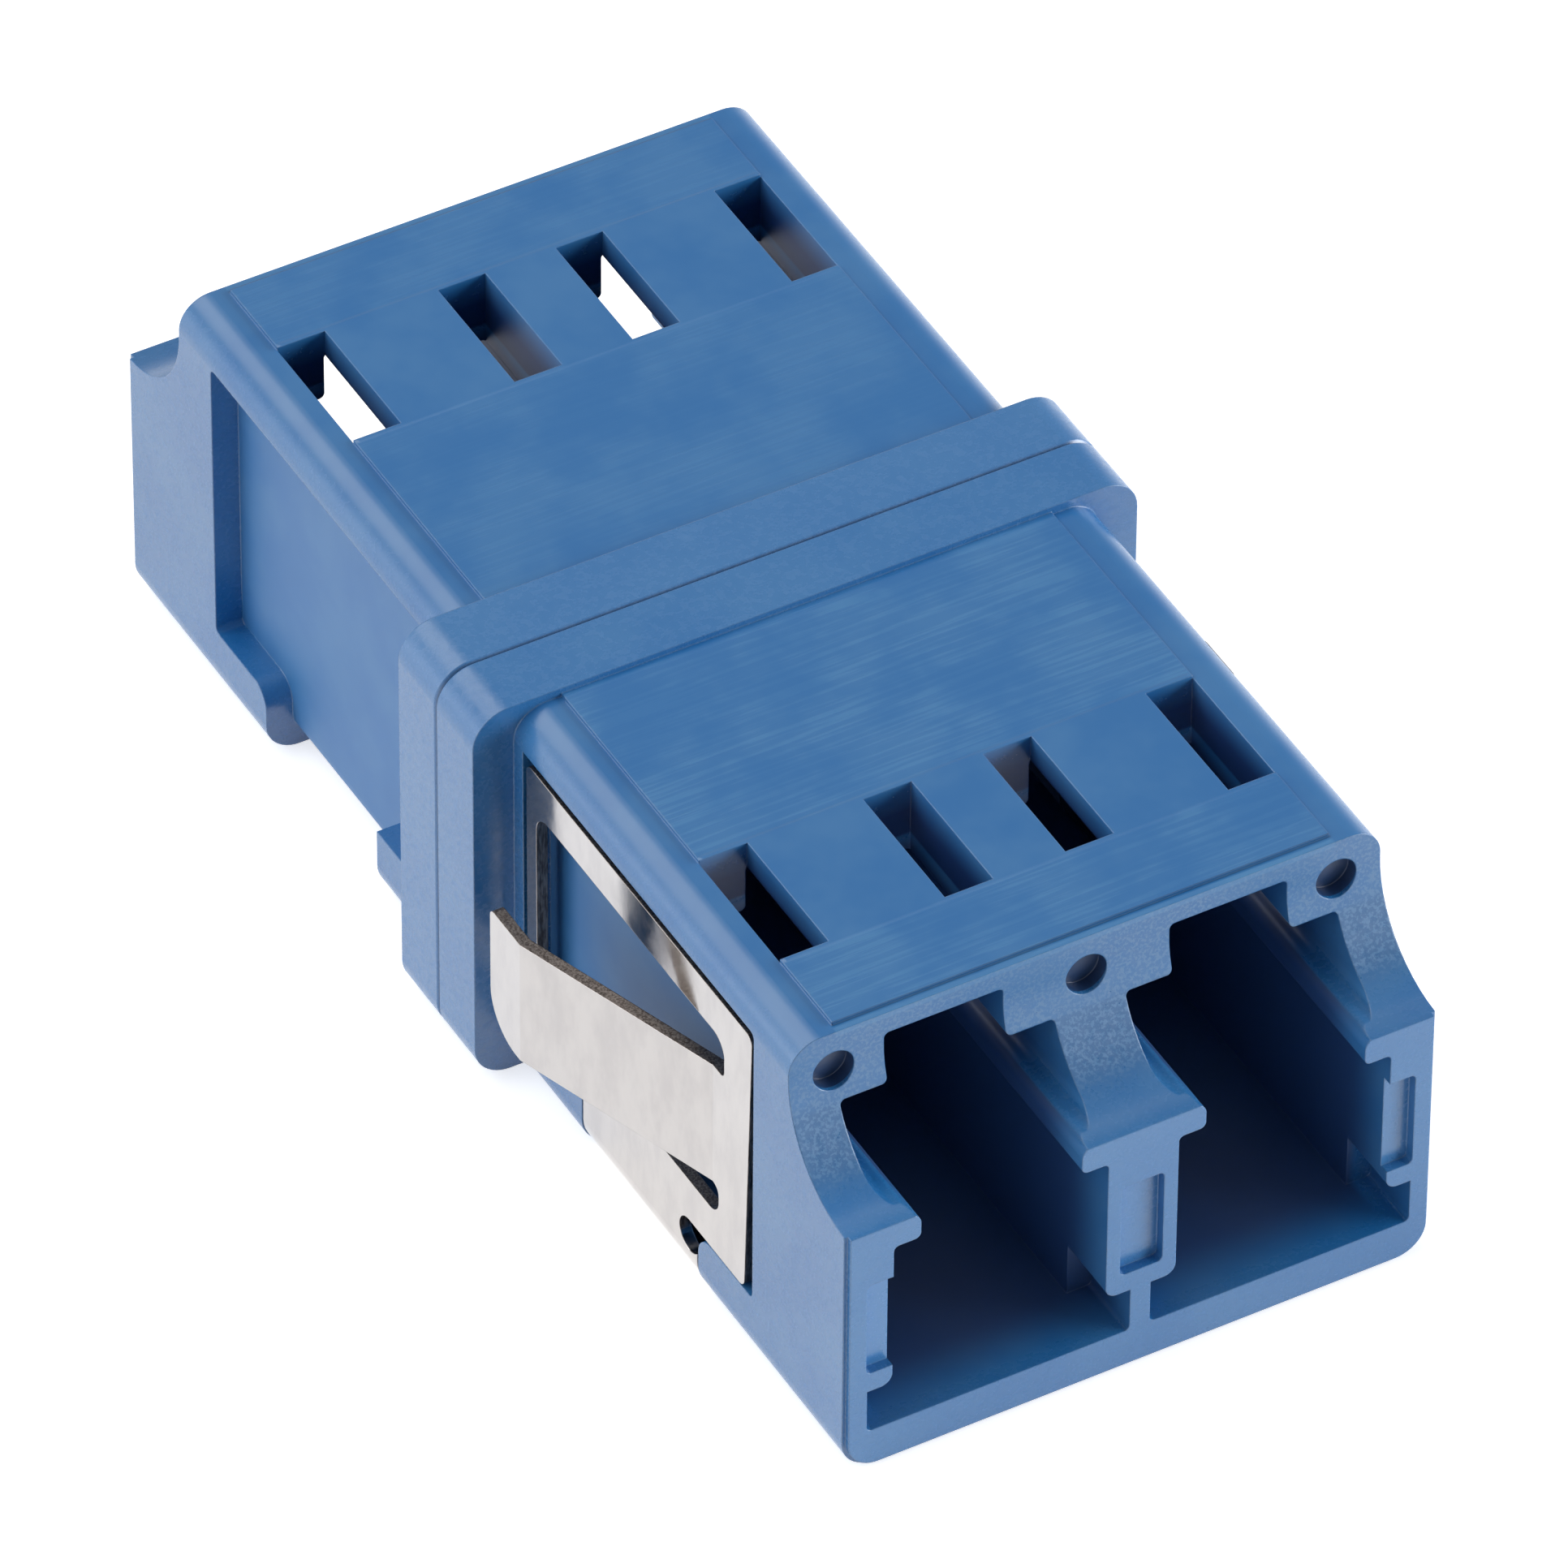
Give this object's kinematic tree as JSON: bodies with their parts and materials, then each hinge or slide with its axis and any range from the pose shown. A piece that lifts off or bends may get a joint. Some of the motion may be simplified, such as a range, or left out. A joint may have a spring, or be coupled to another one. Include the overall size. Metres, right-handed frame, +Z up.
{
  "type": "fibre optic adapter",
  "caption": "Duplex LC fibre adapter: a moulded coupler with two ports at each end, sleeve-aligned, that a spring clip holds in a panel cut-out.",
  "frame": {"origin": "on the collar's parting plane, midway between the two ports, level with the underside", "axes": "+Y along the fibres, away from the end that wears the spring clip; +Z up, from the underside towards the latch windows; +X across the two ports"},
  "size_m": [0.0159, 0.0292, 0.0095],
  "materials": {
    "housing": "blue moulded engineering plastic, satin",
    "spring_steel": "stainless spring steel sheet, satin",
    "zirconia": "white zirconia, polished"
  },
  "bodies": {
    "root": {"front_housing": "housing", "rear_housing": "housing", "alignment_sleeve_left": "zirconia", "alignment_sleeve_right": "zirconia", "mounting_clip": "spring_steel"}
  },
  "joints": []
}
